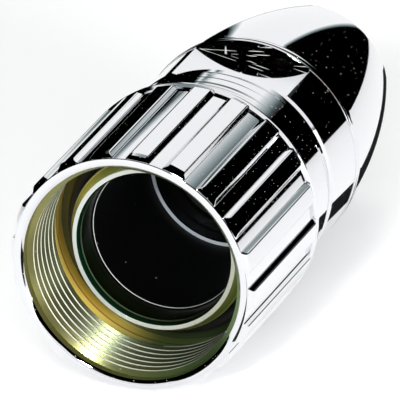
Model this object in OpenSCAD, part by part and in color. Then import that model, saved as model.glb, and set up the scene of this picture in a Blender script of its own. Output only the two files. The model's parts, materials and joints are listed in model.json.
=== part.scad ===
/* [Insert bore] */
// Bore that takes the contact insert
insert_bore_d = 15.7; // [14:0.1:18]
// Length of the insulating sleeve that lines the bore
liner_len = 15.65; // [12:0.05:20]
// Wall of the insulating sleeve
liner_wall = 0.6; // [0.4:0.1:1.2]
// Step of the metal lip over the insulating sleeve's bore
lip_step = 0.2; // [0.1:0.05:0.4]
// Setback of the insulating sleeve behind the plug sleeve's rim
liner_setback = 3.5; // [2:0.1:5]

/* [Plug sleeve] */
// Metal wall of the plug sleeve
sleeve_wall = 0.9; // [0.7:0.1:1.6]
// Gap between the coupling thread's end and the plug sleeve's rim
rim_setback = 0.3; // [0.2:0.1:2]
// Length of the outer lead-in taper
lead_in_len = 1.45; // [0.6:0.05:2.5]
// Drop of the outer lead-in taper
lead_in_drop = 0.7; // [0.3:0.05:0.8]
// Bevel inside the rim
rim_inner_bevel = 0.15; // [0.05:0.05:0.3]

/* [Coupling nut] */
// Annular gap between the plug sleeve and the thread wall
mating_gap = 2.1; // [1.6:0.1:4]
// Length of the thread wall
thread_len = 5.6; // [4:0.1:10]
// Bevel at the mouth
mouth_bevel = 0.5; // [0.2:0.1:1]
// Length of the plain relief behind the thread
relief_len = 4.9; // [3:0.1:8]
// Depth of the relief below the thread wall
relief_depth = 0.2; // [0.1:0.05:0.5]
// Length of the rear bearing behind the relief
bearing_len = 7.7; // [6.5:0.1:12]
// Wall of the rim outside the mouth's bevel
rim_wall = 0.5; // [0.5:0.1:2]
// Flat land on the front rim
rim_land = 0.4; // [0.05:0.05:0.45]
// Number of grip ribs
rib_count = 20; // [8:1:30]
// Height of a rib over the groove floor
rib_height = 0.5; // [0.3:0.1:1.2]
// Width of a rib at its tip
rib_tip_w = 2; // [1:0.1:2.6]
// Spread of a rib's flanks, from tip to root
rib_flare = 0.3; // [0.1:0.1:0.8]
// Bevel along a rib's tip edges
rib_edge = 0.15; // [0.05:0.05:0.25]
// Height of the softer bevel between a rib's front ramp and its tip
rib_nose_h = 0.15; // [0.05:0.05:0.25]
// Length of that softer bevel
rib_nose_len = 0.35; // [0.2:0.05:0.8]
// Angle of the first rib from the top, as the connector lies on two ribs
nut_turn = 9; // [0:0.5:18]

/* [Nut retainers] */
// Axial width of the snap ring
snap_w = 0.7; // [0.4:0.1:1.2]
// Height of the snap ring's section
snap_h = 0.9; // [0.6:0.1:1.2]
// Depth of the snap ring's groove in the plug sleeve
snap_groove_depth = 0.4; // [0.2:0.05:0.5]
// Opening between the snap ring's ends
snap_opening = 3; // [1:0.5:6]
// Section diameter of the friction ring in the nut
friction_ring_w = 1.05; // [0.8:0.05:1.4]
// Section diameter of the mating seal
mating_seal_w = 1.2; // [0.8:0.1:1.5]

/* [Housing body] */
// Length of the collar behind the nut
collar_len = 6.1; // [3:0.1:12]
// Wall of the collar over the housing bore
collar_wall = 3.2; // [2.4:0.1:5]
// Width of the parting groove behind the collar
parting_w = 1.2; // [0.6:0.1:2]
// Depth of the parting groove
parting_depth = 0.4; // [0.2:0.05:0.8]
// Length of the spanner ring
spanner_len = 6.8; // [4:0.1:12]
// Wall of the spanner ring
spanner_wall = 3.1; // [2.4:0.1:5]
// Thickness of the flange behind the spanner flats
flange_len = 0.4; // [0.3:0.1:2]
// Metal left under the spanner flats
flat_wall = 1.3; // [0.8:0.1:2]
// Angle of the spanner flats from the top, as the connector lies
flat_turn = 8; // [0:1:90]
// Length of the rear spigot that carries the shell
spigot_len = 8.1; // [7:0.1:10]
// Wall of the rear spigot
spigot_wall = 1.2; // [1:0.1:2]
// Bevel on the housing's outer edges
edge_bevel = 0.15; // [0.05:0.05:0.3]

/* [Rear shell] */
// Length of the shell behind the spigot
nose_len = 10.9; // [9.5:0.1:16]
// Wall of the shell over its thread bore
shell_wall = 1.9; // [1.6:0.1:3]
// Fall of the outline from the rim to the cable end
nose_drop = 3.85; // [3.2:0.05:4.4]
// Bulge of the outline over a straight taper
nose_bulge = 0.65; // [0.4:0.05:1.2]
// Rounding of the cable end's edge
nose_edge = 2.2; // [1:0.1:2.6]
// Length of the cable hole
cable_hole_len = 2.3; // [1.5:0.1:4]
// Gap between the cable and the cable hole
cable_hole_gap = 1.05; // [0.6:0.05:1.4]
// Section diameter of the body seal ring
body_ring_w = 1.05; // [0.8:0.05:1.4]
// Depth of the body seal ring's groove
body_groove_depth = 0.65; // [0.4:0.05:0.8]

/* [Cable clamp] */
// Bore of the cable seal
cable_d = 10.4; // [6:0.1:11]
// Length of the cable seal
seal_len = 14; // [8:0.5:15]
// Wall of the clamp cage
cage_wall = 1.6; // [1.2:0.1:2]
// Number of clamp fingers
finger_count = 8; // [4:1:12]
// Width of the slots between the fingers
slot_w = 1.2; // [0.6:0.1:2]
// Length of the clamp fingers
finger_len = 8; // [5:0.5:10]
// Wall of a clamp finger at its tip
finger_wall = 0.8; // [0.5:0.1:1.1]
// Thickness of the lip at the cage's front that holds the seal
cage_lip = 0.6; // [0.3:0.1:1]
// Step of the shield ring inside the insert bore
shield_step = 0.45; // [0.2:0.05:0.8]
// Thickness of the shield ring
shield_len = 1.6; // [1:0.1:4]

/* [Fits] */
// Radial gap of a running fit
running_gap = 0.1; // [0.05:0.01:0.2]
// Radial gap of a seated piece
seat_gap = 0.05; // [0.02:0.01:0.1]
// Axial gap between stacked faces
face_gap = 0.1; // [0.05:0.05:0.3]

/* [Hidden] */
$fn = 96;

// Radii from the insert bore outwards
insert_r = insert_bore_d / 2;
lip_r = insert_r + lip_step;
bore_r = insert_r + liner_wall + seat_gap;
sleeve_r = bore_r + sleeve_wall;
thread_r = sleeve_r + mating_gap;
relief_r = thread_r + relief_depth;
mouth_r = thread_r + mouth_bevel;
grip_r = mouth_r + rim_wall;
rib_r = grip_r + rib_height;
bearing_r = sleeve_r + running_gap;
collar_r = bore_r + collar_wall;
spanner_r = bore_r + spanner_wall;
flat_r = bore_r + flat_wall;
spigot_r = bore_r + spigot_wall;
shell_bore_r = spigot_r + running_gap;
shell_r = shell_bore_r + shell_wall;
cage_r = bore_r - running_gap;
cage_bore_r = cage_r - cage_wall;
seal_r = cage_bore_r - seat_gap;
cable_r = cable_d / 2;
cable_hole_r = cable_r + cable_hole_gap;

// Depths behind the nut's front rim
thread_end = mouth_bevel + thread_len;
relief_end = thread_end + relief_len;
nut_len = relief_end + bearing_len;
sleeve_rim = thread_end + rim_setback;
collar_front = nut_len + face_gap;
collar_end = collar_front + collar_len;
spanner_front = collar_end + parting_w;
flange_front = spanner_front + spanner_len;
flange_end = flange_front + flange_len;
flange_bevel = flange_len / 4;
spigot_end = flange_end + spigot_len;
shell_front = flange_end + face_gap;
shell_len = spigot_len + nose_len;
shell_end = shell_front + shell_len;

// Snap ring and the recess it turns in
snap_r = sleeve_r - snap_groove_depth + seat_gap + snap_h;
snap_recess_r = snap_r + 2 * running_gap;
snap_front = relief_end + face_gap;
snap_recess_end = snap_front + snap_w + face_gap;

// Friction ring, midway along the nut's bearing
friction_mid = (snap_recess_end + nut_len) / 2;
friction_r = bearing_r + friction_ring_w / 2 - seat_gap;
friction_groove_r = friction_r + friction_ring_w / 2 + seat_gap;
friction_half = friction_ring_w / 2 + face_gap;

// Mating seal on the sleeve, against the relief's floor
mating_seal_r = sleeve_r + seat_gap + mating_seal_w / 2;
mating_seal_mid = relief_end - face_gap - mating_seal_w / 2;

// Ribs
rim_bevel = rim_wall - rim_land;
rib_nose = rim_bevel + rib_height - rib_nose_h;
rib_sink = rib_height;
rib_root_w = rib_tip_w + rib_flare;

// Insulating sleeve and the stack behind it
liner_front = sleeve_rim + liner_setback;
liner_end = liner_front + liner_len;
shield_front = liner_end + face_gap / 2;
shield_end = shield_front + shield_len;
cage_front = shield_end + face_gap;

// Body seal ring on the spigot, near the shell's front
body_groove_r = spigot_r - body_groove_depth;
body_ring_r = body_groove_r + seat_gap + body_ring_w / 2;
body_seat_r = body_ring_r + body_ring_w / 2 + seat_gap;
body_ring_mid = shell_front + body_ring_w + face_gap;
body_groove_half = body_ring_w / 2 + face_gap;
body_seat_end = body_ring_mid + body_ring_w;

// Shell's cone and the cage's fingers that lie in it
cone_front = spigot_end + 2 * face_gap;
cone_end = shell_end - cable_hole_len;
cone_fall = (shell_bore_r - cable_hole_r) / (cone_end - cone_front);
finger_tip_r = cable_hole_r + finger_wall;
finger_tip = cone_end - (finger_wall + running_gap) / cone_fall;
finger_knee = finger_tip - (cage_r - finger_tip_r) / cone_fall;
finger_bend = finger_tip - (cage_bore_r - cable_hole_r) / cone_fall;
finger_root = finger_tip - finger_len;
seal_front = cage_front + cage_lip + face_gap;

// Circle that gives the shell's outline, through the rim and the cable end
nose_chord = norm([shell_len, nose_drop]);
nose_R = nose_chord * nose_chord / (8 * nose_bulge) + nose_bulge / 2;
nose_lean = atan2(nose_drop, shell_len);
nose_mid = [shell_r - nose_drop / 2, (shell_front + shell_end) / 2];
nose_centre = nose_mid - (nose_R - nose_bulge) * [cos(nose_lean), sin(nose_lean)];

// Smaller circle that rounds the cable end, touching the outline's circle from inside
edge_z = shell_end - nose_edge;
edge_reach = nose_R - nose_edge;
edge_lift = edge_z - nose_centre[1];
edge_centre = [nose_centre[0] + sqrt(edge_reach * edge_reach - edge_lift * edge_lift), edge_z];
edge_cut = edge_centre + 1.5 * nose_edge * (edge_centre - nose_centre) / edge_reach;

// Lays a turned piece along Y, mouth towards -Y, with the thread's start at the origin
module lay() {
    translate([0, -mouth_bevel, 0]) rotate([-90, 0, 0]) children();
}

// Ring of rectangular section between two depths
module ring(inner_r, outer_r, front, back) {
    rotate_extrude() translate([inner_r, front]) square([outer_r - inner_r, back - front]);
}

// Ring of round section
module round_ring(mid_r, mid_z, w) {
    rotate_extrude() translate([mid_r, mid_z]) circle(d = w);
}

// Grip ribs: a turned band kept only where the bars cross it
module grip_ribs() {
    intersection() {
        rotate_extrude() polygon([
            [grip_r - rib_sink, rim_bevel],
            [grip_r, rim_bevel],
            [rib_r - rib_nose_h, rib_nose],
            [rib_r, rib_nose + rib_nose_len],
            [rib_r, nut_len - 2 * rib_height],
            [grip_r, nut_len - rib_height / 2],
            [grip_r - rib_sink, nut_len - rib_height / 2]]);
        linear_extrude(nut_len)
            for (i = [0 : rib_count - 1]) rotate(nut_turn - 90 + i * 360 / rib_count)
                polygon([
                    [grip_r - 2 * rib_sink, -rib_root_w / 2],
                    [rib_r - rib_edge, -rib_tip_w / 2],
                    [rib_r + rib_edge, -rib_tip_w / 2 + 2 * rib_edge],
                    [rib_r + rib_edge, rib_tip_w / 2 - 2 * rib_edge],
                    [rib_r - rib_edge, rib_tip_w / 2],
                    [grip_r - 2 * rib_sink, rib_root_w / 2]]);
    }
}

// Nut that turns freely on the plug sleeve
module coupling_nut() {
    color([0.82, 0.83, 0.84]) lay() union() {
        rotate_extrude() polygon([
            [thread_r, mouth_bevel],
            [mouth_r, 0],
            [mouth_r + rim_land, 0],
            [grip_r, rim_bevel],
            [grip_r, nut_len - edge_bevel],
            [grip_r - edge_bevel, nut_len],
            [bearing_r, nut_len],
            [bearing_r, friction_mid + friction_half],
            [friction_groove_r, friction_mid + friction_half],
            [friction_groove_r, friction_mid - friction_half],
            [bearing_r, friction_mid - friction_half],
            [bearing_r, snap_recess_end],
            [snap_recess_r, snap_recess_end],
            [snap_recess_r, relief_end],
            [relief_r, relief_end],
            [relief_r, thread_end],
            [thread_r, thread_end]]);
        grip_ribs();
    }
}

// Split spring ring that keeps the nut on the plug sleeve
module nut_snap_ring() {
    color([0.55, 0.56, 0.58]) lay() difference() {
        ring(snap_r - snap_h, snap_r, snap_front, snap_front + snap_w);
        translate([0, -snap_opening / 2, snap_front - snap_w])
            cube([snap_r + snap_h, snap_opening, 3 * snap_w]);
    }
}

// Rubber ring in the nut that damps its turning
module nut_friction_ring() {
    color([0.08, 0.08, 0.08]) lay() round_ring(friction_r, friction_mid, friction_ring_w);
}

// Rubber ring round the plug sleeve that meets the mating part's face
module mating_seal() {
    color([0.08, 0.08, 0.08]) lay() round_ring(mating_seal_r, mating_seal_mid, mating_seal_w);
}

// Turned housing: plug sleeve, collar, spanner ring and rear spigot
module housing_body() {
    color([0.8, 0.81, 0.82]) lay() difference() {
        rotate_extrude() polygon([
            [lip_r + rim_inner_bevel, sleeve_rim],
            [sleeve_r - lead_in_drop, sleeve_rim],
            [sleeve_r, sleeve_rim + lead_in_len],
            [sleeve_r, snap_front - seat_gap],
            [sleeve_r - snap_groove_depth, snap_front - seat_gap],
            [sleeve_r - snap_groove_depth, snap_front + snap_w + seat_gap],
            [sleeve_r, snap_front + snap_w + seat_gap],
            [sleeve_r, collar_front],
            [collar_r - edge_bevel, collar_front],
            [collar_r, collar_front + edge_bevel],
            [collar_r, collar_end - edge_bevel],
            [collar_r - edge_bevel, collar_end],
            [collar_r - parting_depth, collar_end],
            [collar_r - parting_depth, spanner_front],
            [spanner_r - edge_bevel, spanner_front],
            [spanner_r, spanner_front + edge_bevel],
            [spanner_r, flange_front],
            [shell_r - flange_bevel, flange_front],
            [shell_r, flange_front + flange_bevel],
            [shell_r, flange_end - flange_bevel],
            [shell_r - flange_bevel, flange_end],
            [spigot_r, flange_end],
            [spigot_r, body_ring_mid - body_groove_half],
            [body_groove_r, body_ring_mid - body_groove_half],
            [body_groove_r, body_ring_mid + body_groove_half],
            [spigot_r, body_ring_mid + body_groove_half],
            [spigot_r, spigot_end - edge_bevel],
            [spigot_r - edge_bevel, spigot_end],
            [bore_r, spigot_end],
            [bore_r, liner_front],
            [lip_r, liner_front],
            [lip_r, sleeve_rim + 5 * rim_inner_bevel]]);
        for (side = [0, 180]) rotate(side + flat_turn)
            translate([-spanner_r, flat_r, spanner_front])
                cube([2 * spanner_r, spanner_r, spanner_len]);
    }
}

// Black plastic sleeve that lines the insert bore
module insulating_sleeve() {
    color([0.06, 0.06, 0.06]) lay()
        ring(insert_r, bore_r - seat_gap, liner_front + face_gap / 2, liner_end);
}

// Metal ring that meets the cable's shield
module shield_ring() {
    color([0.5, 0.53, 0.56]) lay()
        ring(insert_r - shield_step, bore_r - seat_gap, shield_front, shield_end);
}

// Rubber ring between the spigot and the shell
module body_seal_ring() {
    color([0.08, 0.08, 0.08]) lay() round_ring(body_ring_r, body_ring_mid, body_ring_w);
}

// Plastic cage whose fingers the shell presses on the cable
module clamp_cage() {
    color([0.1, 0.1, 0.1]) lay() difference() {
        rotate_extrude() polygon([
            [cable_hole_r, cage_front],
            [cage_r, cage_front],
            [cage_r, finger_knee],
            [finger_tip_r, finger_tip],
            [cable_hole_r, finger_tip],
            [cage_bore_r, finger_bend],
            [cage_bore_r, cage_front + cage_lip],
            [cable_hole_r, cage_front + cage_lip]]);
        for (i = [0 : finger_count - 1]) rotate((i + 0.5) * 360 / finger_count)
            translate([0, -slot_w / 2, finger_root])
                cube([2 * cage_r, slot_w, 2 * finger_len]);
    }
}

// Rubber sleeve that grips the cable inside the cage
module cable_seal() {
    color([0.07, 0.07, 0.07]) lay() ring(cable_r, seal_r, seal_front, seal_front + seal_len);
}

// Half section of the bullet: a wide arc that runs into a small one at the cable end
module shell_outline() {
    intersection() {
        translate(nose_centre) circle(r = nose_R, $fn = 720);
        polygon([
            [0, shell_front],
            [shell_r - edge_bevel, shell_front],
            [shell_r, shell_front + edge_bevel],
            [shell_r, edge_cut[1]],
            edge_cut,
            edge_centre,
            [edge_centre[0], shell_end],
            [0, shell_end]]);
    }
    translate(edge_centre) circle(r = nose_edge);
}

// Bullet-shaped shell screwed over the spigot
module rear_shell() {
    color([0.82, 0.83, 0.84]) lay() difference() {
        rotate_extrude() shell_outline();
        rotate_extrude() polygon([
            [0, shell_front - face_gap],
            [body_seat_r, shell_front - face_gap],
            [body_seat_r, body_seat_end],
            [shell_bore_r, body_seat_end],
            [shell_bore_r, cone_front],
            [cable_hole_r, cone_end],
            [cable_hole_r, shell_end + face_gap],
            [0, shell_end + face_gap]]);
    }
}

coupling_nut();
nut_snap_ring();
nut_friction_ring();
mating_seal();
housing_body();
insulating_sleeve();
shield_ring();
body_seal_ring();
clamp_cage();
cable_seal();
rear_shell();
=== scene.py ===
import bpy
import json
import math
from mathutils import Matrix, Vector


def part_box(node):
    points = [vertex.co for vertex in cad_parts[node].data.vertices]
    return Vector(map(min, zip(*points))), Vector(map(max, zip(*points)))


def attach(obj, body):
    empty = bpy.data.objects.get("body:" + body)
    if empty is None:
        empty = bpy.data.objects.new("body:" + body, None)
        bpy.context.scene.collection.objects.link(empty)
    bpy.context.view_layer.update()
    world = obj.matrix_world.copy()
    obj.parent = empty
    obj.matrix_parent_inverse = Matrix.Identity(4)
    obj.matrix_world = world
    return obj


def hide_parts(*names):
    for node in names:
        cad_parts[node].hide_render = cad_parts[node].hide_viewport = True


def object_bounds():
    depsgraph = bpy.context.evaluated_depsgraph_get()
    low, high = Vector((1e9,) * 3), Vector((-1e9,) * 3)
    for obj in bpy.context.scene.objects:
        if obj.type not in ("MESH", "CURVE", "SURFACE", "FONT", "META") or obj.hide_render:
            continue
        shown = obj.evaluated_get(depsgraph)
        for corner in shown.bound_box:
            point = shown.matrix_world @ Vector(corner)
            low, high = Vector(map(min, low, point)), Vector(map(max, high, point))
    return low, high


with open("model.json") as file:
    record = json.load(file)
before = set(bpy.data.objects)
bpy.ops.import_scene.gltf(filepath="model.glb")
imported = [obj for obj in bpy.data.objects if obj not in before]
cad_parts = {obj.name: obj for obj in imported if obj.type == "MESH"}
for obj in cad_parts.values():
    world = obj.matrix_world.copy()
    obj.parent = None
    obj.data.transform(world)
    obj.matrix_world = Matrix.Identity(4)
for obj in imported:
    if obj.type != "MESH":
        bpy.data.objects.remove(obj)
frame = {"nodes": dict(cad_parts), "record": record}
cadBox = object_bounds()
cadNodes = frame["nodes"]
mounts = {m["name"]: m for m in frame["record"]["mounts"]}
mm = 0.001
slack = 0.001           # points closer than this, in millimetres, are one
near = 0.02             # rows and walls within this, in millimetres, belong together
print("frame loaded with", len(cadNodes), "nodes")


# Places along the axis and radii come from the frame, in millimetres
def frontOf(node):
    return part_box(node)[0].y / mm


def backOf(node):
    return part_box(node)[1].y / mm


def radiusOf(node):
    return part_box(node)[1].z / mm


def mountRadius(name):
    return mounts[name]["dims"]["r_mm"]


def mountLength(name):
    return mounts[name]["dims"]["length_mm"]


# Colours are written as sRGB hex and used as linear values
def linear(code):
    parts = [int(code[i:i + 2], 16) / 255 for i in (1, 3, 5)]
    parts = [c / 12.92 if c <= 0.04045 else ((c + 0.055) / 1.055) ** 2.4 for c in parts]
    return (*parts, 1.0)


# Adds a node: plain settings by name, sockets as values or links
def add(tree, kind, sockets=None, **settings):
    made = tree.nodes.new(kind)
    for key, value in settings.items():
        setattr(made, key, value)
    for key, value in (sockets or {}).items():
        if isinstance(value, bpy.types.NodeSocket):
            tree.links.new(value, made.inputs[key])
        else:
            made.inputs[key].default_value = value
    return made


def startMaterial(name):
    made = bpy.data.materials.new(name)
    made.use_nodes = True
    return made, made.node_tree, made.node_tree.nodes["Principled BSDF"]


# Mask of small dots of mixed size, as dust leaves; spacing and largest radius in millimetres
# Most real dust is too fine to show, so the dots are drawn coarser
def specks(tree, coords, spacing, size, share):
    cells = add(tree, "ShaderNodeTexVoronoi", {"Vector": coords, "Scale": 1 / (spacing * mm)})
    lot = add(tree, "ShaderNodeSeparateColor", {"Color": cells.outputs["Color"]})
    reach = add(tree, "ShaderNodeMath", {0: lot.outputs["Green"], 1: size / spacing}, operation="MULTIPLY")
    inside = add(tree, "ShaderNodeMath", {
        0: cells.outputs["Distance"], 1: reach.outputs[0]}, operation="LESS_THAN")
    drawn = add(tree, "ShaderNodeMath", {0: lot.outputs["Red"], 1: share}, operation="LESS_THAN")
    return add(tree, "ShaderNodeMath", {
        0: inside.outputs[0], 1: drawn.outputs[0]}, operation="MULTIPLY").outputs[0]


# Fine rings that a lathe tool leaves: a noise that hardly changes round the axis; width in millimetres
# On chrome and chromate they are drawn wider than real tool marks, which are too fine to show
def turningRings(tree, coords, width):
    drawnOut = add(tree, "ShaderNodeMapping", {"Vector": coords, "Scale": (0.01, 1, 0.01)})
    return add(tree, "ShaderNodeTexNoise", {
        "Vector": drawnOut.outputs[0], "Scale": 1 / (width * mm), "Detail": 2.0}).outputs["Fac"]


# Chrome plating over turned brass: near mirror under a thin uneven film, with settled dust
# Less polished, it shows dark hairlines round the axis, painted streaks of reflection over real turning
# marks; where a spanner slipped, pale scrapes
chromeLook = {
    "plate": "#e4e5e8", "dust": "#bdbdb8", "hairline": "#4d5a5c", "dustSpacing": 0.3, "dustRough": 0.7,
    "smearSize": 6.0, "roughLow": 0.015, "roughHigh": 0.06,
    "hairlineFrom": 7.0, "hairlineTo": 4.0, "hairlineFaint": 0.56, "hairlineFull": 0.64,
    "scrapeWidth": 0.16, "scrapeSlant": -6.0, "scrapeStretch": 0.03, "scrapeLevel": 0.64,
}


def makeChrome(name, ringWidth, ringDepth, dustSize, dustShare, hairlinesAndPaintedStreaks=False, scraped=False):
    c = chromeLook
    made, tree, shader = startMaterial(name)
    coords = add(tree, "ShaderNodeTexCoord").outputs["Object"]
    dust = specks(tree, coords, c["dustSpacing"], dustSize, dustShare)
    if scraped:
        stretch = (c["scrapeStretch"], c["scrapeStretch"], 1)
        slant = add(tree, "ShaderNodeMapping", {
            "Vector": coords, "Rotation": (0, math.radians(c["scrapeSlant"]), 0), "Scale": stretch})
        strokes = add(tree, "ShaderNodeTexNoise", {
            "Vector": slant.outputs[0], "Scale": 1 / (c["scrapeWidth"] * mm), "Detail": 1.0})
        scrape = add(tree, "ShaderNodeMath", {
            0: strokes.outputs["Fac"], 1: c["scrapeLevel"]}, operation="GREATER_THAN")
        dust = add(tree, "ShaderNodeMath", {0: dust, 1: scrape.outputs[0]}, operation="MAXIMUM").outputs[0]
    rings = turningRings(tree, coords, ringWidth)
    smears = add(tree, "ShaderNodeTexNoise", {
        "Vector": coords, "Scale": 1 / (c["smearSize"] * mm), "Detail": 3.0}).outputs["Fac"]
    plate = linear(c["plate"])
    # The dark hairlines are painted streaks of reflection over turning marks, and fade out towards +X
    if hairlinesAndPaintedStreaks:                       # they thin out towards one side
        split = add(tree, "ShaderNodeSeparateXYZ", {"Vector": coords})
        side = add(tree, "ShaderNodeMapRange", {
            "Value": split.outputs["X"],
            "From Min": c["hairlineFrom"] * mm, "From Max": c["hairlineTo"] * mm})
        line = add(tree, "ShaderNodeMapRange", {
            "Value": rings, "From Min": c["hairlineFaint"], "From Max": c["hairlineFull"]})
        dark = add(tree, "ShaderNodeMath", {0: line.outputs[0], 1: side.outputs[0]}, operation="MULTIPLY")
        plate = add(tree, "ShaderNodeMix", {
            0: dark.outputs[0], 6: plate, 7: linear(c["hairline"])}, data_type="RGBA").outputs[2]
    colour = add(tree, "ShaderNodeMix", {0: dust, 6: plate, 7: linear(c["dust"])}, data_type="RGBA")
    tree.links.new(colour.outputs[2], shader.inputs["Base Color"])
    bare = add(tree, "ShaderNodeMath", {0: 1.0, 1: dust}, operation="SUBTRACT")
    tree.links.new(bare.outputs[0], shader.inputs["Metallic"])
    film = add(tree, "ShaderNodeMapRange", {
        "Value": smears, "To Min": c["roughLow"], "To Max": c["roughHigh"]})
    rough = add(tree, "ShaderNodeMath", {
        0: dust, 1: c["dustRough"], 2: film.outputs[0]}, operation="MULTIPLY_ADD")
    tree.links.new(rough.outputs[0], shader.inputs["Roughness"])
    relief = add(tree, "ShaderNodeBump", {"Height": rings, "Strength": 1.0, "Distance": ringDepth * mm})
    tree.links.new(relief.outputs[0], shader.inputs["Normal"])
    return made


# Yellow chromate over turned brass: an olive, gold and green film, in bands along the axis that carry
# painted highlights and shade too
# The film is clear on top, so a lamp's glare on it stays nearly white
chromateLook = {
    "cloudSize": 5.0, "dust": "#d8d6c8", "dustSpacing": 0.7, "dustSize": 0.07, "dustShare": 0.3,
    "ringWidth": 0.12, "ringDepth": 0.003, "roughLow": 0.14, "roughHigh": 0.32,
    "coat": 0.5, "coatRough": 0.3,
}


# The stops are places along the axis in millimetres, and drift is how far the colour wanders from them
# Its hue turns from one tint to the other between two places across, painted light and shade from one side
# to the other
def makeChromate(name, metallic, drift, tints, turn, stops):
    c = chromateLook
    made, tree, shader = startMaterial(name)
    coords = add(tree, "ShaderNodeTexCoord").outputs["Object"]
    fromY, toY = stops[0][0], stops[-1][0]
    split = add(tree, "ShaderNodeSeparateXYZ", {"Vector": coords})
    cloud = add(tree, "ShaderNodeTexNoise", {
        "Vector": coords, "Scale": 1 / (c["cloudSize"] * mm), "Detail": 3.0}).outputs["Fac"]
    wander = add(tree, "ShaderNodeMath", {
        0: cloud, 1: drift * mm, 2: split.outputs["Y"]}, operation="MULTIPLY_ADD")
    along = add(tree, "ShaderNodeMapRange", {
        "Value": wander.outputs[0],
        "From Min": (fromY + drift / 2) * mm, "From Max": (toY + drift / 2) * mm})
    ramp = add(tree, "ShaderNodeValToRGB", {"Fac": along.outputs[0]})
    marks = ramp.color_ramp.elements
    while len(marks) < len(stops):
        marks.new(0.5)
    for mark, (at, code) in zip(marks, stops):
        mark.position = (at - fromY) / (toY - fromY)
        mark.color = linear(code)
    side = add(tree, "ShaderNodeMapRange", {
        "Value": split.outputs["X"], "From Min": turn[0] * mm, "From Max": turn[1] * mm})
    tint = add(tree, "ShaderNodeMix", {
        0: side.outputs[0], 6: linear(tints[0]), 7: linear(tints[1])}, data_type="RGBA")
    film = add(tree, "ShaderNodeMix", {
        0: 1.0, 6: ramp.outputs["Color"], 7: tint.outputs[2]}, data_type="RGBA", blend_type="MULTIPLY")
    dust = specks(tree, coords, c["dustSpacing"], c["dustSize"], c["dustShare"])
    colour = add(tree, "ShaderNodeMix", {
        0: dust, 6: film.outputs[2], 7: linear(c["dust"])}, data_type="RGBA")
    tree.links.new(colour.outputs[2], shader.inputs["Base Color"])
    rings = turningRings(tree, coords, c["ringWidth"])
    rough = add(tree, "ShaderNodeMapRange", {
        "Value": rings, "To Min": c["roughLow"], "To Max": c["roughHigh"]})
    tree.links.new(rough.outputs[0], shader.inputs["Roughness"])
    shader.inputs["Metallic"].default_value = metallic
    shader.inputs["Coat Weight"].default_value = c["coat"]
    shader.inputs["Coat Roughness"].default_value = c["coatRough"]
    relief = add(tree, "ShaderNodeBump", {
        "Height": rings, "Strength": 0.8, "Distance": c["ringDepth"] * mm})
    tree.links.new(relief.outputs[0], shader.inputs["Normal"])
    return made


# Moulded plastic or rubber: dark, or pale as a painted highlight on an edge, satin to matt, with a fine
# grain and settled dust
mouldedLook = {
    "dust": "#b9bab7", "dustSpacing": 1.3, "dustSize": 0.1, "dustShare": 0.25, "grainDepth": 0.01,
}


def makeMoulded(name, code, worn, grain, roughLow, roughHigh, gloss):
    p = mouldedLook
    made, tree, shader = startMaterial(name)
    coords = add(tree, "ShaderNodeTexCoord").outputs["Object"]
    fine = add(tree, "ShaderNodeTexNoise", {
        "Vector": coords, "Scale": 1 / (grain * mm), "Detail": 4.0}).outputs["Fac"]
    dust = specks(tree, coords, p["dustSpacing"], p["dustSize"], p["dustShare"])
    body = add(tree, "ShaderNodeMix", {0: fine, 6: linear(code), 7: linear(worn)}, data_type="RGBA")
    colour = add(tree, "ShaderNodeMix", {
        0: dust, 6: body.outputs[2], 7: linear(p["dust"])}, data_type="RGBA")
    tree.links.new(colour.outputs[2], shader.inputs["Base Color"])
    rough = add(tree, "ShaderNodeMapRange", {"Value": fine, "To Min": roughLow, "To Max": roughHigh})
    tree.links.new(rough.outputs[0], shader.inputs["Roughness"])
    shader.inputs["Specular IOR Level"].default_value = gloss
    relief = add(tree, "ShaderNodeBump", {
        "Height": fine, "Strength": 0.4, "Distance": p["grainDepth"] * mm})
    tree.links.new(relief.outputs[0], shader.inputs["Normal"])
    return made


# Turned or drawn metal under light oil: grey to pale, satin to bright, with close tool rings
turnedLook = {"ringDepth": 0.004}


def makeTurnedMetal(name, code, bright, ringWidth, roughLow, roughHigh, metallic):
    made, tree, shader = startMaterial(name)
    coords = add(tree, "ShaderNodeTexCoord").outputs["Object"]
    rings = turningRings(tree, coords, ringWidth)
    colour = add(tree, "ShaderNodeMix", {0: rings, 6: linear(code), 7: linear(bright)}, data_type="RGBA")
    tree.links.new(colour.outputs[2], shader.inputs["Base Color"])
    rough = add(tree, "ShaderNodeMapRange", {"Value": rings, "To Min": roughLow, "To Max": roughHigh})
    tree.links.new(rough.outputs[0], shader.inputs["Roughness"])
    shader.inputs["Metallic"].default_value = metallic
    relief = add(tree, "ShaderNodeBump", {
        "Height": rings, "Strength": 0.8, "Distance": turnedLook["ringDepth"] * mm})
    tree.links.new(relief.outputs[0], shader.inputs["Normal"])
    return made


chrome = makeChrome(
    "chromePlatingPolished", ringWidth=0.22, ringDepth=0.0004, dustSize=0.055, dustShare=0.2)
handledChrome = makeChrome(
    "chromePlatingHandled", ringWidth=0.22, ringDepth=0.0004, dustSize=0.045, dustShare=0.6)
scrapedChrome = makeChrome(
    "chromePlatingSpannerWorn", ringWidth=0.22, ringDepth=0.0004, dustSize=0.055, dustShare=0.2,
    scraped=True)
turnedChrome = makeChrome(
    "chromePlatingTurned", ringWidth=0.3, ringDepth=0.004, dustSize=0.055, dustShare=0.35, hairlinesAndPaintedStreaks=True)
# Nut thread: darker from the mouth inwards, a painted shade deeper in the nut, and darker and greener
# towards +X, painted shade on that side
nutChromate = makeChromate(
    "yellowChromateNutThread", metallic=0.75, drift=2.0, tints=("#fff8d4", "#b2dcc2"), turn=(-8, 6),
    stops=[(-0.5, "#85855a"), (1.5, "#6c6f4a"), (4.0, "#4c5640"), (10.5, "#4d5338")])
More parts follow.
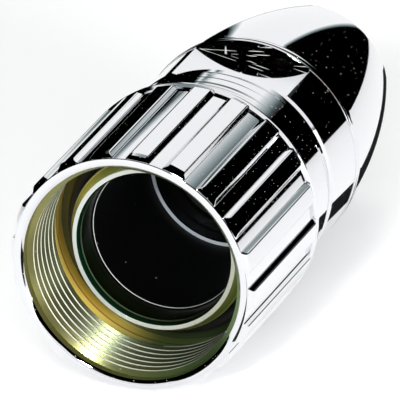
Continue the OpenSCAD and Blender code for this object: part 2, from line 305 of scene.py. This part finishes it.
# Relief: its hue turns from warm to a dark blue-grey towards +X, a painted shade on its right side
reliefChromate = makeChromate(
    "yellowChromateRelief", metallic=0.15, drift=0.15, tints=("#fff8e0", "#5f8296"), turn=(-9, -2),
    stops=[(5.6, "#8a7a3a"), (7.6, "#f2d264"), (8.9, "#fbe080"), (9.1, "#7d5a20"), (9.3, "#efcc5c"),
           (10.5, "#c9ab4c")])
# Plug sleeve: the bright yellow-green line at the outer edge of the lead-in cone, 7.3 to 7.45 mm, is a
# painted highlight
sleeveChromate = makeChromate(
    "yellowChromatePlugSleeve", metallic=0.4, drift=0.1, tints=("#ffffff", "#fffbe6"), turn=(-8, 6),
    stops=[(5.8, "#adb2b0"), (5.95, "#a5aba6"), (6.1, "#98a454"), (7.0, "#7f8f48"), (7.3, "#d6e39a"),
           (7.45, "#cfdc90"), (7.6, "#5f8a58"), (18.0, "#7d8848")])
# Sleeve bore: the thin light line where the bevel meets the lip, 6.58 to 6.72 mm, is a painted highlight,
# the olive at 8 mm a painted glint, and the darkening to near black further in a painted shade
sleeveBoreChromate = makeChromate(
    "yellowChromateSleeveBore", metallic=0.85, drift=0.05, tints=("#e0ffe8", "#fff2d0"), turn=(-8, 6),
    stops=[(5.9, "#1f4f38"), (6.5, "#143627"), (6.58, "#a9b394"), (6.72, "#a9b394"), (6.8, "#10160d"),
           (8.0, "#252b14"), (9.4, "#0a0c08")])
# Thread crests, near white: rubbed through the film to bare metal, and painted lighter still as a highlight
# along each crest line
rubbedCrestPaintedHighlight = makeTurnedMetal(
    "yellowChromateRubbedCrest", "#e9e8d4", "#fafaf2",
    ringWidth=0.3, roughLow=0.12, roughHigh=0.3, metallic=0.25)
blackPlastic = makeMoulded(
    "blackNylonMoulded", "#020202", "#040404", grain=0.35, roughLow=0.42, roughHigh=0.62, gloss=0.1)
# Pale grey on the liner's small front edge: a painted highlight where the edge catches the lamp
paintedEdgeHighlightPlastic = makeMoulded(
    "blackNylonScrapedEdge", "#8a8b89", "#b3b4b2", grain=0.2, roughLow=0.4, roughHigh=0.55, gloss=0.5)
sealRubber = makeMoulded(
    "nitrileRubberMoulded", "#0d0d0d", "#1a1a19", grain=0.25, roughLow=0.62, roughHigh=0.85, gloss=0.5)
greyMetal = makeTurnedMetal(
    "nickelPlatedBrassTurned", "#b4c0cb", "#dde5ec",
    ringWidth=0.08, roughLow=0.22, roughHigh=0.4, metallic=0.3)
polishedMetal = makeTurnedMetal(
    "nickelPlatedBrassPolished", "#8f9aa4", "#b4bdc6",
    ringWidth=0.08, roughLow=0.08, roughHigh=0.15, metallic=1.0)
springSteel = makeTurnedMetal(
    "springSteelDrawn", "#6f7174", "#8d8f92",
    ringWidth=0.06, roughLow=0.25, roughHigh=0.45, metallic=1.0)
print("materials made")


# Selects vertices of the piece by place, in edit mode
def pickVertices(piece, test):
    bpy.ops.object.mode_set(mode="OBJECT")
    for group in (piece.data.polygons, piece.data.edges):
        for item in group:
            item.select = False
    for v in piece.data.vertices:
        v.select = test(v.co.x / mm, v.co.y / mm, v.co.z / mm)
    bpy.ops.object.mode_set(mode="EDIT")
    bpy.ops.mesh.select_mode(type="VERT")


# Draws a closed outline of (radius, place along the axis) from one vertex, as by hand
def drawOutline(name, outline):
    bpy.ops.object.select_all(action="DESELECT")
    bpy.ops.mesh.primitive_plane_add(size=mm)
    piece = bpy.context.object
    piece.name = name
    bpy.ops.object.mode_set(mode="EDIT")
    bpy.ops.mesh.select_all(action="SELECT")
    bpy.ops.mesh.merge(type="CENTER")
    bpy.ops.transform.translate(value=(0, outline[0][1] * mm, outline[0][0] * mm))
    for (r1, y1), (r2, y2) in zip(outline, outline[1:] + outline[:1]):
        step = (0, (y2 - y1) * mm, (r2 - r1) * mm)
        bpy.ops.mesh.extrude_vertices_move(TRANSFORM_OT_translate={"value": step})
    bpy.ops.mesh.select_all(action="SELECT")
    bpy.ops.mesh.remove_doubles(threshold=slack * mm)
    return piece


cornerSteps = 5
cornerTurns = [math.pi / 2 * i / cornerSteps for i in range(cornerSteps + 1)]


# Points of a rounded outer corner, from the front face to the wall or from the wall to the back face
def frontCorner(r, y, size):
    return [(r - size + size * math.sin(t), y + size - size * math.cos(t)) for t in cornerTurns]


def backCorner(r, y, size):
    return [(r - size + size * math.cos(t), y - size + size * math.sin(t)) for t in cornerTurns]


# Turns a closed outline about the axis, as on a lathe
def turnPiece(name, outline, steps=320):
    piece = drawOutline(name, outline)
    bpy.ops.mesh.select_all(action="SELECT")
    bpy.ops.mesh.spin(steps=steps, angle=2 * math.pi, center=(0, 0, 0), axis=(0, 1, 0))
    bpy.ops.mesh.select_all(action="SELECT")
    bpy.ops.mesh.remove_doubles(threshold=slack * mm)
    bpy.ops.mesh.normals_make_consistent(inside=False)
    bpy.ops.object.mode_set(mode="OBJECT")
    return piece


# Turns the whole mesh about the axis, from the top towards +X
def turnAbout(piece, degrees):
    bpy.ops.object.mode_set(mode="EDIT")
    bpy.ops.mesh.select_all(action="SELECT")
    bpy.ops.transform.rotate(value=-math.radians(degrees), orient_axis="Y", center_override=(0, 0, 0))
    bpy.ops.object.mode_set(mode="OBJECT")


# Smooth faces, with edges that bend more than the given angle kept sharp
def shade(piece, sharpDegrees=20):
    bpy.ops.object.mode_set(mode="OBJECT")
    bpy.ops.object.select_all(action="DESELECT")
    piece.select_set(True)
    bpy.context.view_layer.objects.active = piece
    bpy.ops.object.shade_smooth_by_angle(angle=math.radians(sharpDegrees))
    evened = piece.modifiers.new("evened", "WEIGHTED_NORMAL")
    evened.keep_sharp = True
    bpy.ops.object.modifier_apply(modifier="evened")


# Gives each face one of the piece's materials by its radius and its place along the axis, in millimetres
def dress(piece, materials, choose=None):
    piece.data.materials.clear()
    for item in materials:
        piece.data.materials.append(item)
    if choose:
        for face in piece.data.polygons:
            c = face.center / mm
            face.material_index = materials.index(choose(math.hypot(c.x, c.z), c.y))


def settle(piece, body, slot, *stoodFor):
    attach(piece, body)
    if stoodFor:
        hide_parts(*stoodFor)


# Coupling nut: turned shell with a low rim at its back, then grip ribs and the thread's ridges
nut = {
    "front": frontOf("coupling_nut"), "back": backOf("coupling_nut"),
    "threadRadius": mountRadius("coupling_thread"), "threadEnd": mountLength("coupling_thread"),
    "mouthRadius": 12.0, "mouthTilts": (75, 68, 60, 52, 45), "gripRadius": 12.5, "frontRound": 0.12,
    "backRound": 0.05, "rimLead": 0.4, "rimRadius": 12.94, "rimEdge": 0.34, "rimCone": 23.0,
    "reliefRadius": 11.7, "reliefEnd": 10.5, "recessRadius": 10.15, "recessEnd": 11.4,
    "bearingRadius": 9.5, "frictionMid": 14.8, "frictionHalf": 0.625, "frictionRadius": 10.55,
}


def makeNut(n):
    wall = n["bearingRadius"]
    tilts = [math.radians(t) for t in n["mouthTilts"]]  # a crowned cone from the mouth's edge to the thread
    crown = (n["mouthRadius"] - n["threadRadius"]) / (math.cos(tilts[-1]) - math.cos(tilts[0]))
    mouth = [(n["mouthRadius"] - crown * (math.cos(t) - math.cos(tilts[0])),
              n["front"] + crown * (math.sin(tilts[0]) - math.sin(t))) for t in tilts]
    coneEnd = mouth[-1][1]
    rimFront = n["back"] - n["rimLead"]
    piece = turnPiece("nutShell", [
        *reversed(mouth),
        *frontCorner(n["gripRadius"], n["front"], n["frontRound"]),
        (n["gripRadius"], rimFront),
        (n["rimRadius"] - n["rimEdge"], rimFront),
        (n["rimRadius"], rimFront + n["rimEdge"] * math.tan(math.radians(n["rimCone"]))),
        *backCorner(n["rimRadius"], n["back"], n["backRound"]),
        (wall, n["back"]),
        (wall, n["frictionMid"] + n["frictionHalf"]),
        (n["frictionRadius"], n["frictionMid"] + n["frictionHalf"]),
        (n["frictionRadius"], n["frictionMid"] - n["frictionHalf"]),
        (wall, n["frictionMid"] - n["frictionHalf"]),
        (wall, n["recessEnd"]),
        (n["recessRadius"], n["recessEnd"]),
        (n["recessRadius"], n["reliefEnd"]),
        (n["reliefRadius"], n["reliefEnd"]),
        (n["reliefRadius"], n["threadEnd"]),
        (n["threadRadius"], n["threadEnd"])])
    shade(piece)

    def finishAt(r, y):
        if n["threadEnd"] < y < n["reliefEnd"] and n["frictionRadius"] < r < n["reliefRadius"] + near:
            return reliefChromate
        if coneEnd < y < n["back"] - near and r < n["reliefRadius"]:
            return nutChromate
        return handledChrome

    dress(piece, [handledChrome, nutChromate, reliefChromate], finishAt)
    return piece


# Grip rib; its flank is pairs of the height in millimetres that a slope runs up to and the slope in degrees
rib = {
    "count": 20, "turn": 9.0, "sink": 0.3, "tipRadius": 12.998, "height": 0.498, "tipWidth": 1.8,
    "front": nut["front"] + 0.1, "back": nut["back"] - 0.7, "noseHeight": 0.15, "noseLength": 0.35,
    "rearRun": 0.15, "flank": ((0.04, 25.0), (0.34, 48.0), (0.498, 72.0)),
    "edge": 0.1, "edgeSegments": 5, "edgeDegrees": 40, "steps": 8,
}


# How far a rib's flank stands out past its tip at a height
def flankOut(r, height):
    out, low = 0, 0
    for high, slope in r["flank"]:
        out += max(0, high - max(low, height)) / math.tan(math.radians(slope))
        low = high
    return out


# One rib: its long outline spun through the rib's width, capped, spread row by row and edge-bevelled
def makeRib(r):
    root = r["tipRadius"] - r["height"]
    nose = r["front"] + r["height"] - r["noseHeight"]
    piece = drawOutline("gripRib", [
        (root - r["sink"], r["front"]), (root, r["front"]), (r["tipRadius"] - r["noseHeight"], nose),
        (r["tipRadius"], nose + r["noseLength"]), (r["tipRadius"], r["back"] - r["rearRun"]),
        (root, r["back"]), (root - r["sink"], r["back"])])
    half = math.asin(r["tipWidth"] / 2 / r["tipRadius"])
    turnAbout(piece, -math.degrees(half))
    bpy.ops.object.mode_set(mode="EDIT")
    bpy.ops.mesh.select_all(action="SELECT")
    bpy.ops.mesh.spin(steps=r["steps"], angle=-2 * half, center=(0, 0, 0), axis=(0, 1, 0))
    bpy.ops.mesh.select_all(action="SELECT")
    bpy.ops.mesh.fill_holes(sides=0)
    bpy.ops.mesh.normals_make_consistent(inside=False)
    bends = [root + height for height, slope in r["flank"][:-1]]
    for bend in bends:
        bpy.ops.mesh.select_all(action="SELECT")
        bpy.ops.mesh.bisect(plane_co=(0, 0, bend * mm), plane_no=(0, 0, 1))
    rows = [root, *bends, r["tipRadius"] - r["noseHeight"]]
    for low, at in zip([0] + rows, rows):
        pickVertices(piece, lambda x, y, z: low + near < z < at + near)
        spread = (r["tipWidth"] / 2 + flankOut(r, at - root)) / (at * math.tan(half))
        bpy.ops.transform.resize(value=(spread, 1, 1), center_override=(0, 0, 0))
    bpy.ops.object.mode_set(mode="OBJECT")
    edges = piece.modifiers.new("edges", "BEVEL")
    edges.width = r["edge"] * mm
    edges.segments = r["edgeSegments"]
    edges.limit_method = "ANGLE"
    edges.angle_limit = math.radians(r["edgeDegrees"])
    bpy.ops.object.modifier_apply(modifier="edges")
    return piece


def copyRound(piece, count, firstDegrees):
    copies = []
    for i in range(count):
        bpy.ops.object.select_all(action="DESELECT")
        piece.select_set(True)
        bpy.context.view_layer.objects.active = piece
        bpy.ops.object.duplicate()
        made = bpy.context.object
        turnAbout(made, firstDegrees + i * 360 / count)
        copies.append(made)
    bpy.data.objects.remove(piece)
    return copies


def joinInto(piece, others):
    bpy.ops.object.select_all(action="DESELECT")
    for item in others:
        item.select_set(True)
    piece.select_set(True)
    bpy.context.view_layer.objects.active = piece
    bpy.ops.object.join()


nutShell = makeNut(nut)
oneRib = makeRib(rib)
shade(oneRib)
dress(oneRib, [handledChrome])
ribs = copyRound(oneRib, rib["count"], rib["turn"])
joinInto(nutShell, ribs)
settle(nutShell, "nut", "plated_nut", "coupling_nut")
print("coupling nut made with", rib["count"], "ribs")


# Inner thread of the nut: one V ridge wound as a right-hand helix, cut back by the mouth's bevel
nutRidge = {
    "pitch": 1.0, "rootRadius": nut["threadRadius"], "crestRadius": 10.96, "baseRadius": 11.74,
    "rootWidth": 0.86, "crestWidth": 0.22, "firstCrest": 0.4, "turns": 7, "steps": 180,
    "leadIn": -0.24, "runOutEnd": 7.75, "sharpDegrees": 25,
}


# A ridge stands on its base, towards the axis or away from it, and its ends rise and fall at 45 degrees
def makeThread(name, t):
    wide, thin = t["rootWidth"] / 2, t["crestWidth"] / 2
    at = t["firstCrest"]
    piece = drawOutline(name, [
        (t["baseRadius"], at - wide), (t["rootRadius"], at - wide), (t["crestRadius"], at - thin),
        (t["crestRadius"], at + thin), (t["rootRadius"], at + wide), (t["baseRadius"], at + wide)])
    bpy.ops.object.mode_set(mode="OBJECT")
    wind = piece.modifiers.new("wind", "SCREW")
    wind.axis = "Y"
    wind.angle = 2 * math.pi
    wind.screw_offset = t["pitch"] * mm
    wind.iterations = t["turns"]
    wind.steps = t["steps"]
    wind.render_steps = t["steps"]
    bpy.ops.object.modifier_apply(modifier="wind")
    bpy.ops.object.mode_set(mode="EDIT")
    bpy.ops.mesh.select_all(action="SELECT")
    bpy.ops.mesh.fill_holes(sides=0)
    bpy.ops.mesh.normals_make_consistent(inside=False)
    bpy.ops.object.mode_set(mode="OBJECT")
    outwards = math.copysign(1, t["crestRadius"] - t["baseRadius"])
    for v in piece.data.vertices:
        r, y = math.hypot(v.co.x, v.co.z) / mm, v.co.y / mm
        allowed = max(0, min(y - t["leadIn"], t["runOutEnd"] - y))
        if outwards * (r - t["baseRadius"]) > allowed:
            grow = (t["baseRadius"] + outwards * allowed) / r
            v.co.x *= grow
            v.co.z *= grow
    shade(piece, t["sharpDegrees"])
    return piece


nutThread = makeThread("nutThread", nutRidge)
dress(nutThread, [nutChromate, rubbedCrestPaintedHighlight],
      lambda r, y: rubbedCrestPaintedHighlight if r < nutRidge["crestRadius"] + near else nutChromate)
settle(nutThread, "nut", "plated_nut")
print("thread wound with", nutRidge["turns"], "turns")


# Housing: plug sleeve, collar, spanner ring with two flats, flange and threaded spigot
housing = {
    "rim": frontOf("housing_body"), "back": backOf("housing_body"),
    "lipRadius": 8.05, "rimBevel": 0.22, "rimBevelLength": 0.75, "sleeveRadius": 9.4,
    "leadIn": 0.7, "leadInLength": 1.45, "grooveFront": 10.55, "grooveBack": 11.35, "grooveRadius": 9.0,
    "collarFront": backOf("coupling_nut") + 0.1, "collarRadius": 11.7, "collarLength": 6.1, "edge": 0.2,
    "taperLength": 0.4, "taperDrop": 0.15, "partingWidth": 1.2, "partingRadius": 11.3,
    "ringRadius": 11.6, "ringLength": 6.8, "ringCone": 23.0, "flatRadius": 9.8, "flatTurn": 8.0,
    "flangeLength": 0.4, "flangeRadius": 11.7, "flangeEdge": 0.08, "scrapeDepth": 0.005,
    "spigotRadius": 9.7, "sealFront": 33.425, "sealBack": 34.675, "sealRadius": 9.05,
    "threadFront": 35.0, "threadRoot": 9.3, "boreRadius": 8.5,
    "linerFront": frontOf("insulating_sleeve") - 0.05,
}


def makeHousing(h):
    edge = h["edge"]
    collarEnd = h["collarFront"] + h["collarLength"]
    ringFront = collarEnd + h["partingWidth"]
    ringRise = (h["ringRadius"] - h["partingRadius"]) * math.tan(math.radians(h["ringCone"]))
    flangeFront = ringFront + h["ringLength"]
    flangeEnd = flangeFront + h["flangeLength"]
    piece = turnPiece("housingShell", [
        (h["lipRadius"] + h["rimBevel"], h["rim"]),
        (h["sleeveRadius"] - h["leadIn"], h["rim"]),
        (h["sleeveRadius"], h["rim"] + h["leadInLength"]),
        (h["sleeveRadius"], h["grooveFront"]),
        (h["grooveRadius"], h["grooveFront"]),
        (h["grooveRadius"], h["grooveBack"]),
        (h["sleeveRadius"], h["grooveBack"]),
        (h["sleeveRadius"], h["collarFront"]),
        *frontCorner(h["collarRadius"], h["collarFront"], edge),
        (h["collarRadius"], collarEnd - h["taperLength"]),
        (h["collarRadius"] - h["taperDrop"], collarEnd),
        (h["partingRadius"], collarEnd),
        (h["partingRadius"], ringFront),
        (h["ringRadius"], ringFront + ringRise),
        (h["ringRadius"], flangeFront),
        *frontCorner(h["flangeRadius"], flangeFront, h["flangeEdge"]),
        *backCorner(h["flangeRadius"], flangeEnd, h["flangeEdge"]),
        (h["spigotRadius"], flangeEnd),
        (h["spigotRadius"], h["sealFront"]),
        (h["sealRadius"], h["sealFront"]),
        (h["sealRadius"], h["sealBack"]),
        (h["spigotRadius"], h["sealBack"]),
        (h["spigotRadius"], h["threadFront"]),
        (h["threadRoot"], h["threadFront"]),
        *backCorner(h["threadRoot"], h["back"], edge),
        (h["boreRadius"], h["back"]),
        (h["boreRadius"], h["linerFront"]),
        (h["lipRadius"], h["linerFront"]),
        (h["lipRadius"], h["rim"] + h["rimBevelLength"])])
    flat = h["flatRadius"]
    for side in (1, -1):                # a flat: the ring is scored at its height, then pressed down to it
        pickVertices(piece, lambda x, y, z: ringFront - slack < y < flangeFront + slack
                     and math.hypot(x, z) > h["partingRadius"] - slack)
        bpy.ops.mesh.bisect(plane_co=(0, 0, side * flat * mm), plane_no=(0, 0, 1), threshold=slack * mm)
        pickVertices(piece, lambda x, y, z: ringFront - slack < y < flangeFront + slack
                     and side * z > flat + slack and math.hypot(x, z) > h["partingRadius"] + slack
                     and not (y > flangeFront - slack and math.hypot(x, z) < h["ringRadius"] - slack))
        bpy.ops.transform.resize(value=(1, 1, 0), center_override=(0, 0, side * flat * mm))
    turnAbout(piece, h["flatTurn"])
    shade(piece)

    def finishAt(r, y):
        if y > h["rim"] + slack and r < h["boreRadius"] + slack:
            return sleeveBoreChromate
        if y < h["collarFront"] - slack:
            return sleeveChromate
        if y > flangeEnd + slack:
            return greyMetal
        if y < collarEnd:
            return turnedChrome
        if abs(y - flangeFront) < h["scrapeDepth"]:     # the wall where a flat ends
            return scrapedChrome
        return chrome

    finishes = [chrome, sleeveChromate, sleeveBoreChromate, greyMetal, turnedChrome, scrapedChrome]
    dress(piece, finishes, finishAt)
    return piece


housingShell = makeHousing(housing)
settle(housingShell, "housing", "plated_body", "housing_body")
print("housing turned")

# Outer thread of the spigot, which carries the rear shell
spigotRidge = {
    "pitch": 1.0, "rootRadius": housing["threadRoot"], "crestRadius": housing["spigotRadius"],
    "baseRadius": housing["threadRoot"] - 0.2, "rootWidth": 0.8, "crestWidth": 0.14,
    "firstCrest": housing["threadFront"] + 0.4, "turns": 5, "steps": 120,
    "leadIn": housing["threadFront"], "runOutEnd": housing["back"], "sharpDegrees": 25,
}
spigotThread = makeThread("spigotThread", spigotRidge)
dress(spigotThread, [greyMetal])
settle(spigotThread, "housing", "plated_body")
print("spigot threaded with", spigotRidge["turns"], "turns")


# Rear shell: the bullet, a wide arc running into a small one at the cable end
bullet = {
    "front": frontOf("rear_shell"), "back": backOf("rear_shell"), "rimRadius": radiusOf("rear_shell"),
    "rimRound": 0.2, "drop": 3.85, "bulge": 0.65, "edge": 2.2, "seatRadius": 10.2, "seatBack": 35.1,
    "boreRadius": 9.8, "coneFront": backOf("housing_body") + 0.2, "holeRadius": mountRadius("cable_entry"),
    "holeLength": mountLength("cable_entry"), "arcSteps": 44, "edgeSteps": 14,
}


def makeBullet(b):
    # The wide arc spans a chord from the rim to the end, and the small one touches it and the end face
    length = b["back"] - b["front"]
    chord = math.hypot(length, b["drop"])
    wide = chord * chord / (8 * b["bulge"]) + b["bulge"] / 2
    lean = math.atan2(b["drop"], length)
    reach = wide - b["bulge"]
    midR = b["rimRadius"] - b["drop"] / 2 - reach * math.cos(lean)
    midY = (b["front"] + b["back"]) / 2 - reach * math.sin(lean)
    edgeY = b["back"] - b["edge"]
    edgeR = midR + math.sqrt((wide - b["edge"]) ** 2 - (edgeY - midY) ** 2)
    first = math.asin((b["front"] + b["rimRound"] - midY) / wide)
    meet = math.atan2(edgeY - midY, edgeR - midR)
    outline = frontCorner(b["rimRadius"], b["front"], b["rimRound"])
    for i in range(1, b["arcSteps"] + 1):
        a = first + (meet - first) * i / b["arcSteps"]
        outline.append((midR + wide * math.cos(a), midY + wide * math.sin(a)))
    for i in range(1, b["edgeSteps"] + 1):
        a = meet + (math.pi / 2 - meet) * i / b["edgeSteps"]
        outline.append((edgeR + b["edge"] * math.cos(a), edgeY + b["edge"] * math.sin(a)))
    piece = turnPiece("rearBullet", outline + [
        (b["holeRadius"], b["back"]), (b["holeRadius"], b["back"] - b["holeLength"]),
        (b["boreRadius"], b["coneFront"]), (b["boreRadius"], b["seatBack"]),
        (b["seatRadius"], b["seatBack"]), (b["seatRadius"], b["front"])])
    shade(piece)
    dress(piece, [chrome])
    return piece


rearBullet = makeBullet(bullet)
settle(rearBullet, "shell", "plated_body", "rear_shell")
print("bullet turned")

# Insulating sleeve and shield ring, with the small broken edges that catch the light in the bore; on the
# liner the edge's pale colour is a painted highlight
# The first finish is for a ring's faces, the second for its front edge; the bore's wall takes one of them
liner = {
    "node": "insulating_sleeve", "slot": "black_plastic", "inner": mountRadius("insert_seat"),
    "broken": 0.05, "finishes": [blackPlastic, paintedEdgeHighlightPlastic], "wall": blackPlastic,
}
shield = {
    "node": "shield_ring", "slot": "grey_metal", "inner": 7.4,
    "broken": 0.12, "finishes": [greyMetal, polishedMetal], "wall": polishedMetal,
}


def makeBoreRing(name, b):
    front, back, outer = frontOf(b["node"]), backOf(b["node"]), radiusOf(b["node"])
    inner, broken = b["inner"], b["broken"]
    face, edge = b["finishes"]
    piece = turnPiece(name, [
        (inner + broken, front), (outer, front), (outer, back), (inner + broken, back),
        (inner, back - broken), (inner, front + broken)], steps=192)
    shade(piece)

    def finishAt(r, y):
        if r > inner + broken:
            return face
        return edge if y < front + broken else b["wall"]

    dress(piece, b["finishes"], finishAt)
    settle(piece, "housing", b["slot"], b["node"])


makeBoreRing("linerSleeve", liner)
makeBoreRing("shieldContactRing", shield)
print("bore rings made")

# The other pieces keep their solids
innerFinishes = {
    "nut_snap_ring": springSteel, "nut_friction_ring": sealRubber, "mating_seal": sealRubber,
    "body_seal_ring": sealRubber, "clamp_cage": blackPlastic, "cable_seal": sealRubber,
}
for name, finish in innerFinishes.items():
    dress(cadNodes[name], [finish])
print("inner pieces dressed")

# Studio, in metres: a pale lit table with two black cards on it as painted shadows, a white panel at its
# back edge, another leaning over, a white card far in front, lamps, and darkness elsewhere
studio = {
    "tableBack": 0.2, "tableFront": -0.7, "tableHalf": 0.6, "tableColour": "#f6f6f6", "tableGlow": 0.2,
    "flagColour": "#060909", "flagLift": 0.0002, "clothRough": 0.9, "panelEdge": "#8fb9bd",
    "seen": "#ffffff", "dark": 0.0, "panelGlow": 1.05, "cardGlow": 1.0,
    "fillGlow": 0.9, "frontGlow": 8.0, "rightGlow": 42.0, "lampGlow": 85.0,
}


def makeTable(s):
    deep = s["tableBack"] - s["tableFront"]
    bpy.ops.object.select_all(action="DESELECT")
    bpy.ops.mesh.primitive_plane_add(size=1, location=(0, s["tableBack"] - deep / 2, cadBox[0].z))
    table = bpy.context.object
    table.name = "paleTable"
    table.scale = (2 * s["tableHalf"], deep, 1)
    made, _, shader = startMaterial("paleTableSheet")
    shader.inputs["Base Color"].default_value = linear(s["tableColour"])
    shader.inputs["Roughness"].default_value = s["clothRough"]
    shader.inputs["Emission Color"].default_value = (1, 1, 1, 1)
    shader.inputs["Emission Strength"].default_value = s["tableGlow"]
    table.data.materials.append(made)


# A black card lying on the table, seen only in what mirrors it: a painted shadow of the connector on the
# table
def makeShadowCard(name, middle, width, length, turn):
    bpy.ops.object.select_all(action="DESELECT")
    bpy.ops.mesh.primitive_plane_add(size=1, location=(*middle, cadBox[0].z + studio["flagLift"]))
    shadowSheet = bpy.context.object
    shadowSheet.name = name
    shadowSheet.scale = (width, length, 1)
    shadowSheet.rotation_euler = (0, 0, math.radians(turn))
    made, _, shader = startMaterial(name + "Cloth")
    shader.inputs["Base Color"].default_value = linear(studio["flagColour"])
    shader.inputs["Roughness"].default_value = studio["clothRough"]
    shadowSheet.data.materials.append(made)
    shadowSheet.visible_camera = False
    shadowSheet.visible_diffuse = False
    shadowSheet.visible_shadow = False


# A white panel by its middle, the point it faces, its size and its glow
# Its sides fade over the first width, its top and bottom over the second, and they turn teal as they fade
def makePanel(name, middle, facing, width, height, glow, fades):
    bpy.ops.object.select_all(action="DESELECT")
    bpy.ops.mesh.primitive_plane_add(size=1, location=middle)
    panel = bpy.context.object
    panel.name = name
    panel.scale = (width, height, 1)
    panel.rotation_euler = (Vector(facing) - Vector(middle)).to_track_quat("Z", "Y").to_euler()
    made, tree, shader = startMaterial(name + "Cloth")
    coords = add(tree, "ShaderNodeTexCoord").outputs["Object"]
    split = add(tree, "ShaderNodeSeparateXYZ", {"Vector": coords})
    sides = []
    for axis, size, fade in (("X", width, fades[0]), ("Y", height, fades[1])):
        off = add(tree, "ShaderNodeMath", {0: split.outputs[axis]}, operation="ABSOLUTE").outputs[0]
        sides.append(add(tree, "ShaderNodeMapRange", {
            "Value": off, "From Min": 0.5, "From Max": 0.5 - fade / size}).outputs[0])
    both = add(tree, "ShaderNodeMath", {0: sides[0], 1: sides[1]}, operation="MULTIPLY").outputs[0]
    strength = add(tree, "ShaderNodeMath", {0: both, 1: glow}, operation="MULTIPLY").outputs[0]
    light = add(tree, "ShaderNodeMix", {
        0: both, 6: linear(studio["panelEdge"]), 7: (1, 1, 1, 1)}, data_type="RGBA")
    shader.inputs["Base Color"].default_value = (0, 0, 0, 1)
    tree.links.new(light.outputs[2], shader.inputs["Emission Color"])
    tree.links.new(strength, shader.inputs["Emission Strength"])
    panel.data.materials.append(made)
    panel.visible_camera = False
    panel.visible_shadow = False


# A lamp with a square soft front that faces the origin; one that isn't mirrored only fills
def makeLamp(name, middle, size, glow, mirrored):
    light = bpy.data.lights.new(name, "AREA")
    light.shape = "SQUARE"
    light.size = size
    light.energy = glow * math.pi * size * size
    lamp = bpy.data.objects.new(name, light)
    bpy.context.scene.collection.objects.link(lamp)
    lamp.location = middle
    lamp.rotation_euler = (-Vector(middle)).to_track_quat("-Z", "Y").to_euler()
    lamp.visible_camera = False
    lamp.visible_glossy = mirrored


# The world is white to the camera and dark to everything else
def makeWorld(s):
    world = bpy.data.worlds.new("studioDark")
    bpy.context.scene.world = world
    world.use_nodes = True
    tree = world.node_tree
    tree.nodes.clear()
    path = add(tree, "ShaderNodeLightPath")
    unseen = add(tree, "ShaderNodeBackground", {"Color": (1, 1, 1, 1), "Strength": s["dark"]})
    seen = add(tree, "ShaderNodeBackground", {"Color": linear(s["seen"]), "Strength": 1.0})
    both = add(tree, "ShaderNodeMixShader", {
        0: path.outputs["Is Camera Ray"], 1: unseen.outputs[0], 2: seen.outputs[0]})
    add(tree, "ShaderNodeOutputWorld", {"Surface": both.outputs[0]})


makeTable(studio)
makeWorld(studio)
makeShadowCard("underFlag", middle=(0.0085, 0.066), width=0.005, length=0.062, turn=8)
makeShadowCard("frontFlag", middle=(0.0135, -0.026), width=0.011, length=0.03, turn=35)
makePanel("backPanel", middle=(-0.045, 0.205, 0.041), facing=(-0.045, 0, 0.041),
          width=0.084, height=0.112, glow=studio["panelGlow"], fades=(0.006, 0.006))
makePanel("overheadPanel", middle=(-0.023, 0.135, 0.165), facing=(-0.023, 0, 0.015),
          width=0.216, height=0.208, glow=studio["panelGlow"], fades=(0.045, 0.012))
makeLamp("topFill", middle=(0, 0, 0.8), size=1.2, glow=studio["fillGlow"], mirrored=False)
makePanel("frontCard", middle=(-0.105, -0.6, 0.125), facing=(-0.105, 0, 0.0),
          width=0.69, height=0.28, glow=studio["cardGlow"], fades=(0.02, 0.02))
makeLamp("frontFill", middle=(0.15, -0.75, 0.28), size=0.4, glow=studio["frontGlow"], mirrored=False)
makeLamp("rightFill", middle=(0.6, -0.52, 0.1), size=0.3, glow=studio["rightGlow"], mirrored=False)
makeLamp("frontLamp", middle=(0.078, -0.52, 0.286), size=0.065, glow=studio["lampGlow"], mirrored=True)
print("studio lit")

# Camera: a long lens over the right of the mouth, a little rolled, since the connector lies on two ribs
view = {
    "azimuth": 23.45, "elevation": 22.5, "roll": 5.64, "distance": 1.2, "sensor": 36.0, "imageSize": 400,
    "pixelsPerMm": 10.1, "mouthPixel": (130.0, 274.9), "clipStart": 0.01, "clipEnd": 20,
}


def makeCamera(v):
    a, e, roll = math.radians(v["azimuth"]), math.radians(v["elevation"]), math.radians(v["roll"])
    back = Vector((math.sin(a) * math.cos(e), -math.cos(a) * math.cos(e), math.sin(e)))
    level = Vector((math.cos(a), math.sin(a), 0))
    right = level * math.cos(roll) - back.cross(level) * math.sin(roll)
    up = back.cross(right)
    half = v["imageSize"] / 2
    aside = (half - v["mouthPixel"][0]) / v["pixelsPerMm"] * mm
    above = (v["mouthPixel"][1] - half) / v["pixelsPerMm"] * mm
    aim = Vector((0, nut["front"] * mm, 0)) + right * aside + up * above
    camera = bpy.data.objects.new("photoCamera", bpy.data.cameras.new("photoCamera"))
    bpy.context.scene.collection.objects.link(camera)
    camera.data.sensor_width = v["sensor"]
    camera.data.lens = v["pixelsPerMm"] / mm * v["distance"] * v["sensor"] / v["imageSize"]
    camera.matrix_world = Matrix((right, up, back)).transposed().to_4x4()
    camera.location = aim + back * v["distance"]
    camera.data.clip_start = v["clipStart"]
    camera.data.clip_end = v["clipEnd"]
    bpy.context.scene.camera = camera


makeCamera(view)
bpy.context.scene.view_settings.view_transform = "Standard"
print("camera placed")
